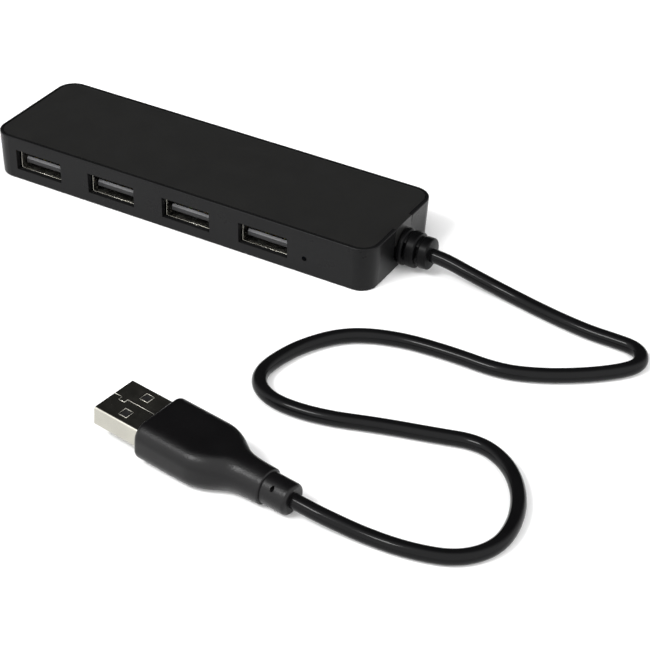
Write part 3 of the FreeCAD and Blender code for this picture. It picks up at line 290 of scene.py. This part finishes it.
def add_relief():
    """The ribbed strain relief, turned about the case's long axis."""
    first, last = RELIEF_STEPS[0][0], RELIEF_STEPS[-1][1]
    places = [first + (last - first) * step / RELIEF_RINGS for step in range(RELIEF_RINGS + 1)]
    rings = []
    for place in places:
        ring = []
        for step in range(RELIEF_SIDES):
            angle = 2 * math.pi * step / RELIEF_SIDES
            radius = relief_radius(place, angle)
            if place > last - 0.001:
                radius = RELIEF_STEPS[-1][2] - RELIEF_STEPS[-1][3]
            ring.append((place, radius * math.cos(angle), radius * math.sin(angle)))
        rings.append(ring)
    piece = skin("strain_relief_detail", rings, Matrix.Translation((0, 0, RELIEF_HEIGHT * MM)))
    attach(piece, "root")
    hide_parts("cord_strain_relief")
    return piece


def add_bright_edge(name, path, matrix, thickness, closed=False):
    """A thin round edge along a path of (x, y, z) points in mm; in pale steel on the plug it is a
    painted highlight.
    """
    curve = bpy.data.curves.new(name, "CURVE")
    curve.dimensions = "3D"
    spline = curve.splines.new("POLY")
    spline.points.add(len(path) - 1)
    for point, place in zip(spline.points, path):
        point.co = (*(value * MM for value in place), 1.0)
    spline.use_cyclic_u = closed
    curve.bevel_depth = thickness * MM / 2
    curve.bevel_resolution = 3
    drawn = bpy.data.objects.new(name, curve)
    bpy.context.scene.collection.objects.link(drawn)
    graph = bpy.context.evaluated_depsgraph_get()
    mesh = bpy.data.meshes.new_from_object(drawn.evaluated_get(graph))
    bpy.data.objects.remove(drawn)
    piece = bpy.data.objects.new(name, mesh)
    piece.matrix_world = matrix
    bpy.context.scene.collection.objects.link(piece)
    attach(piece, "root")
    return piece


def add_plug_edges():
    """The edge of the seam and the rims of the two latch holes on the upper side, as painted
    highlight lines.
    """
    seam = [(x, y, PLUG_TOP) for x, y in SEAM_PATH]
    edges = [add_bright_edge("plug_seam_painted_highlight", seam, plug_frame(), SEAM_EDGE)]
    for side in (-1, 1):
        low = side * LATCH_MIDDLE - LATCH_HALF_WIDTH
        high = side * LATCH_MIDDLE + LATCH_HALF_WIDTH
        rim = [(x, y, PLUG_TOP) for x, y in ((LATCH_START, low), (LATCH_END, low),
                                             (LATCH_END, high), (LATCH_START, high))]
        edges.append(add_bright_edge("plug_latch_rim_painted_highlight", rim, plug_frame(),
                                     THIN_EDGE, closed=True))
    return edges


def add_socket_edges():
    """The polished front edge of each socket's sheet, along its left and lower walls."""
    edges = []
    for index in range(4):
        middle = PORT_FIRST + index * PORT_PITCH
        corners = ((SOCKET_EDGE_LEFT, SOCKET_EDGE_TOP), (SOCKET_EDGE_LEFT, SOCKET_EDGE_BOTTOM),
                   (SOCKET_EDGE_RIGHT, SOCKET_EDGE_BOTTOM))
        path = [(middle + x, SOCKET_FRONT, z) for x, z in corners]
        edges.append(add_bright_edge("socket_edge", path, Matrix.Identity(4),
                                     THIN_EDGE))
    return edges


plug_grip = add_grip()
strain_relief = add_relief()
plug_highlight_lines = add_plug_edges()
socket_edges = add_socket_edges()


# ---------------------------------------------------------------------------------------------
# Materials
# ---------------------------------------------------------------------------------------------

# The part of a noise texture's range that holds nearly all of its values.
NOISE_LOW = 0.3
NOISE_HIGH = 0.7
# Pointiness at which a convex edge starts to lighten, and at which it is fully lightened, partly as
# wear and partly as a painted highlight.
EDGE_FROM = 0.52
EDGE_FULL = 0.58
# How much lighter the edges are, where wear and a painted highlight lighten them.
WEAR_AND_SHEEN_LIGHTER = 1.7


def new_material(name):
    """A new Principled material, its node tree and its shader."""
    material = bpy.data.materials.new(name)
    material.use_nodes = True
    tree = material.node_tree
    shader = tree.nodes["Principled BSDF"]
    return material, tree, shader


def noise(tree, scale, detail=3.0, stretch=None):
    """A noise texture in metres of the model, if asked stretched along an axis."""
    where = tree.nodes.new("ShaderNodeTexCoord")
    texture = tree.nodes.new("ShaderNodeTexNoise")
    texture.inputs["Scale"].default_value = scale
    texture.inputs["Detail"].default_value = detail
    link = where.outputs["Object"]
    if stretch:
        mapping = tree.nodes.new("ShaderNodeMapping")
        mapping.inputs["Scale"].default_value = stretch
        tree.links.new(link, mapping.inputs["Vector"])
        link = mapping.outputs["Vector"]
    tree.links.new(link, texture.inputs["Vector"])
    return texture.outputs["Fac"]


def spread(tree, value, low, high):
    """Maps a texture's value to a range."""
    node = tree.nodes.new("ShaderNodeMapRange")
    node.inputs["From Min"].default_value = NOISE_LOW
    node.inputs["From Max"].default_value = NOISE_HIGH
    node.inputs["To Min"].default_value = low
    node.inputs["To Max"].default_value = high
    tree.links.new(value, node.inputs["Value"])
    return node.outputs["Result"]


def two_tone(tree, value, first, second):
    """Mixes two colours by a texture's value."""
    node = tree.nodes.new("ShaderNodeValToRGB")
    node.color_ramp.elements[0].position = NOISE_LOW
    node.color_ramp.elements[0].color = (*first, 1.0)
    node.color_ramp.elements[1].position = NOISE_HIGH
    node.color_ramp.elements[1].color = (*second, 1.0)
    tree.links.new(value, node.inputs["Fac"])
    return node.outputs["Color"]


def worn_edges(tree, colour, bright, strength):
    """Lightens the convex edges: partly wear from handling, partly a painted highlight along them.
    """
    geometry = tree.nodes.new("ShaderNodeNewGeometry")
    ramp = tree.nodes.new("ShaderNodeMapRange")
    ramp.inputs["From Min"].default_value = EDGE_FROM
    ramp.inputs["From Max"].default_value = EDGE_FULL
    ramp.inputs["To Max"].default_value = strength
    tree.links.new(geometry.outputs["Pointiness"], ramp.inputs["Value"])
    mix = tree.nodes.new("ShaderNodeMix")
    mix.data_type = "RGBA"
    mix.inputs[7].default_value = (*bright, 1.0)
    tree.links.new(ramp.outputs["Result"], mix.inputs[0])
    tree.links.new(colour, mix.inputs[6])
    return mix.outputs[2]


def bump(tree, shader, value, distance):
    """Raises the surface by a texture, up to a distance in metres."""
    node = tree.nodes.new("ShaderNodeBump")
    node.inputs["Distance"].default_value = distance
    node.inputs["Strength"].default_value = 1.0
    tree.links.new(value, node.inputs["Height"])
    tree.links.new(node.outputs["Normal"], shader.inputs["Normal"])


def moulded_plastic(name, dark, light, rough=(0.42, 0.52), grain=9000.0, depth=0.000012,
                    specular=0.5, ior=1.5, wear_and_sheen=0.35):
    """Moulded plastic: fine spark grain, slow colour and gloss changes, edges lightened partly by
    wear and partly as a painted highlight.
    """
    material, tree, shader = new_material(name)
    colour = two_tone(tree, noise(tree, 90.0), dark, light)
    colour = worn_edges(tree, colour, tuple(min(1.0, value * WEAR_AND_SHEEN_LIGHTER) for value in light), wear_and_sheen)
    tree.links.new(colour, shader.inputs["Base Color"])
    tree.links.new(spread(tree, noise(tree, 220.0), *rough), shader.inputs["Roughness"])
    shader.inputs["Specular IOR Level"].default_value = specular
    shader.inputs["IOR"].default_value = ior
    bump(tree, shader, noise(tree, grain, 2.0), depth)
    return material


def sheet_metal(name, dark, light, rough=(0.2, 0.32), brushed=(1.0, 14.0, 14.0)):
    """Plated sheet: warm grey metal with faint rolling lines and finger-dulled patches."""
    material, tree, shader = new_material(name)
    tree.links.new(two_tone(tree, noise(tree, 160.0), dark, light), shader.inputs["Base Color"])
    shader.inputs["Metallic"].default_value = 1.0
    tree.links.new(spread(tree, noise(tree, 500.0), *rough), shader.inputs["Roughness"])
    bump(tree, shader, noise(tree, 1200.0, 2.0, stretch=brushed), 0.000004)
    return material


CASE = moulded_plastic("case_plastic", (0.0046, 0.0046, 0.0048), (0.0056, 0.0056, 0.0058),
                       rough=(0.26, 0.34), depth=0.000008, specular=0.16, ior=1.4, wear_and_sheen=0.1)
COVER = moulded_plastic("cover_plastic", (0.0077, 0.0077, 0.0075), (0.0089, 0.0089, 0.0086),
                        rough=(0.38, 0.46), specular=0.3)
GRIP = moulded_plastic("grip_plastic", (0.0022, 0.0021, 0.0023), (0.0032, 0.003, 0.0033),
                       rough=(0.28, 0.38), grain=3200.0, depth=0.00004, specular=0.38, ior=1.35)
RELIEF = moulded_plastic("relief_rubber", (0.0018, 0.0018, 0.002), (0.0026, 0.0026, 0.0028),
                         rough=(0.3, 0.38), grain=5000.0, depth=0.000008, specular=0.16, ior=1.3)
JACKET = moulded_plastic("cord_jacket", (0.0028, 0.0028, 0.003), (0.004, 0.004, 0.0043),
                         rough=(0.12, 0.16), grain=3500.0, depth=0.000003, specular=0.25, ior=1.3)
BLACK_MOULDING = moulded_plastic("plug_insulator_black", (0.006, 0.006, 0.0065),
                                 (0.009, 0.009, 0.0095), rough=(0.4, 0.5), specular=0.2)
TONGUE = moulded_plastic("socket_insulator", (0.020, 0.020, 0.021), (0.026, 0.026, 0.027),
                         rough=(0.3, 0.42), specular=0.3)
# A pale, glossy copy of the insulator for the tongue's upper front bevel: a painted highlight.
TONGUE_BEVEL_HIGHLIGHT = moulded_plastic("socket_insulator_painted_highlight", (0.11, 0.11, 0.115), (0.15, 0.15, 0.155),
                              rough=(0.25, 0.35), specular=0.8)
BOARD = moulded_plastic("board_laminate", (0.010, 0.075, 0.028), (0.014, 0.10, 0.038),
                        rough=(0.3, 0.4), grain=3000.0)
EPOXY = moulded_plastic("chip_epoxy", (0.018, 0.018, 0.019), (0.024, 0.024, 0.025),
                        rough=(0.55, 0.65))
CERAMIC = moulded_plastic("capacitor_ceramic", (0.30, 0.20, 0.11), (0.38, 0.26, 0.15),
                          rough=(0.5, 0.6))
RESISTOR = moulded_plastic("resistor_body", (0.02, 0.02, 0.022), (0.03, 0.03, 0.034))
LENS = moulded_plastic("led_lens", (0.25, 0.38, 0.62), (0.3, 0.44, 0.7), rough=(0.1, 0.16))
SOCKET_STEEL = sheet_metal("socket_steel", (0.42, 0.41, 0.37), (0.5, 0.49, 0.45))
PLUG_STEEL = sheet_metal("plug_steel", (0.38, 0.37, 0.33), (0.45, 0.44, 0.39), rough=(0.16, 0.26))
# A pale copy of the plug's steel, for the painted highlight lines along its seam and latch rims.
HIGHLIGHT_STEEL = sheet_metal("painted_highlight_steel", (0.78, 0.76, 0.68), (0.86, 0.84, 0.76), rough=(0.3, 0.42))
TINNED = sheet_metal("tinned_metal", (0.55, 0.55, 0.53), (0.66, 0.66, 0.64))
CAN_METAL = sheet_metal("can_metal", (0.60, 0.60, 0.60), (0.72, 0.72, 0.71), rough=(0.25, 0.35))
GOLD = sheet_metal("contact_metal", (0.72, 0.52, 0.22), (0.82, 0.62, 0.30), rough=(0.18, 0.28))
WIRES = {
    "wire_power_red": moulded_plastic("wire_red", (0.42, 0.02, 0.015), (0.5, 0.03, 0.02)),
    "wire_data_white": moulded_plastic("wire_white", (0.62, 0.62, 0.60), (0.7, 0.7, 0.68)),
    "wire_data_green": moulded_plastic("wire_green", (0.02, 0.24, 0.05), (0.03, 0.3, 0.07)),
    "wire_ground_black": moulded_plastic("wire_black", (0.012, 0.012, 0.013), (0.016, 0.016, 0.017)),
}


def dress(node, material):
    """Gives a carried-over CAD node its material."""
    piece = NODES[node]
    piece.data.materials.clear()
    piece.data.materials.append(material)


# A face whose normal leans at least this much forwards and upwards is the bevel.
BEVEL_FACING = 0.3


def polish_bevel(piece):
    """The tongue's upper front bevel gets a pale, glossy material: a painted highlight."""
    piece.data.materials.append(TONGUE_BEVEL_HIGHLIGHT)
    for face in piece.data.polygons:
        if face.normal.y < -BEVEL_FACING and face.normal.z > BEVEL_FACING:
            face.material_index = 1


dress("bottom_case", CASE)
dress("top_cover", COVER)
dress("circuit_board", BOARD)
dress("hub_controller_chip", EPOXY)
dress("controller_leads", TINNED)
dress("crystal_can", CAN_METAL)
dress("reservoir_capacitors", CAN_METAL)
dress("ceramic_capacitors", CERAMIC)
dress("resistors", RESISTOR)
dress("status_led", LENS)
dress("led_leads", TINNED)
dress("cable_solder_joints", TINNED)
dress("plug_insulator", BLACK_MOULDING)
dress("plug_contacts", GOLD)
dress("plug_shell", PLUG_STEEL)
dress("plug_collar", GRIP)
plug_grip.data.materials.append(GRIP)
strain_relief.data.materials.append(RELIEF)
# The plug's seam and latch rims: painted highlight in pale steel.
for edge in plug_highlight_lines:
    edge.data.materials.append(HIGHLIGHT_STEEL)
for edge in socket_edges:
    edge.data.materials.append(SOCKET_STEEL)
for node, material in WIRES.items():
    dress(node, material)
for port in range(1, 5):
    name = "port_" + str(port)
    dress(name + "_shell", SOCKET_STEEL)
    dress(name + "_tongue", TONGUE)
    # The bevel's pale faces are a painted highlight.
    polish_bevel(NODES[name + "_tongue"])
    dress(name + "_contact_springs", GOLD)
    dress(name + "_contact_tails", TINNED)
cord_jacket.data.materials.append(JACKET)


# ---------------------------------------------------------------------------------------------
# Floor and light
# ---------------------------------------------------------------------------------------------

def add_floor():
    """A wide, plain, pale and fully matt floor."""
    mesh = bpy.data.meshes.new("floor")
    half = FLOOR_HALF
    corners = [(-half, -half, 0.0), (half, -half, 0.0), (half, half, 0.0), (-half, half, 0.0)]
    mesh.from_pydata(corners, [], [(0, 1, 2, 3)])
    floor = bpy.data.objects.new("floor", mesh)
    bpy.context.scene.collection.objects.link(floor)
    material, tree, shader = new_material("floor_paper")
    tree.links.new(two_tone(tree, noise(tree, 3.0), (0.94, 0.94, 0.94), (0.95, 0.95, 0.95)),
                   shader.inputs["Base Color"])
    shader.inputs["Roughness"].default_value = 1.0
    shader.inputs["Specular IOR Level"].default_value = 0.0
    mesh.materials.append(material)


def add_light(name, place, target, size, power):
    """A rectangular lamp at a place, turned to face the target."""
    data = bpy.data.lights.new(name, "AREA")
    data.shape = "RECTANGLE"
    data.size = size[0]
    data.size_y = size[1]
    data.energy = power
    lamp = bpy.data.objects.new(name, data)
    direction = Vector(target) - Vector(place)
    lamp.matrix_world = (Matrix.Translation(Vector(place))
                         @ direction.to_track_quat("-Z", "Y").to_matrix().to_4x4())
    bpy.context.scene.collection.objects.link(lamp)


def add_world():
    """A soft pale room, dark towards the back, where the flat tops mirror it to the camera."""
    world = bpy.data.worlds.new("studio")
    world.use_nodes = True
    tree = world.node_tree
    background = tree.nodes["Background"]
    background.inputs["Color"].default_value = (1.0, 1.0, 1.0, 1.0)
    direction = tree.nodes.new("ShaderNodeTexCoord")
    towards_back = tree.nodes.new("ShaderNodeVectorMath")
    towards_back.operation = "DOT_PRODUCT"
    towards_back.inputs[1].default_value = DARK_DIRECTION
    fade = tree.nodes.new("ShaderNodeMapRange")
    fade.interpolation_type = "SMOOTHSTEP"
    fade.inputs["From Min"].default_value = DARK_FROM
    fade.inputs["From Max"].default_value = DARK_FULL
    fade.inputs["To Min"].default_value = ROOM_LIGHT
    fade.inputs["To Max"].default_value = BACK_LIGHT
    tree.links.new(direction.outputs["Generated"], towards_back.inputs[0])
    tree.links.new(towards_back.outputs["Value"], fade.inputs["Value"])
    tree.links.new(fade.outputs["Result"], background.inputs["Strength"])
    bpy.context.scene.world = world


CENTRE = (0.05, -0.03, 0.0)
DARK_DIRECTION = (-0.392, 0.727, 0.564)
# Cosine of the angle from the dark direction at which the room starts to dim and is darkest.
DARK_FROM = 0.2
DARK_FULL = 0.8
ROOM_LIGHT = 2.15
BACK_LIGHT = 0.03
FLOOR_HALF = 4.0
KEY_PLACE = (-0.2, -0.6, 0.72)
KEY_SIZE = (0.3, 0.17)
KEY_POWER = 5.0  # W

add_floor()
add_world()
add_light("key", KEY_PLACE, CENTRE, KEY_SIZE, KEY_POWER)
bpy.context.scene.view_settings.view_transform = "Standard"
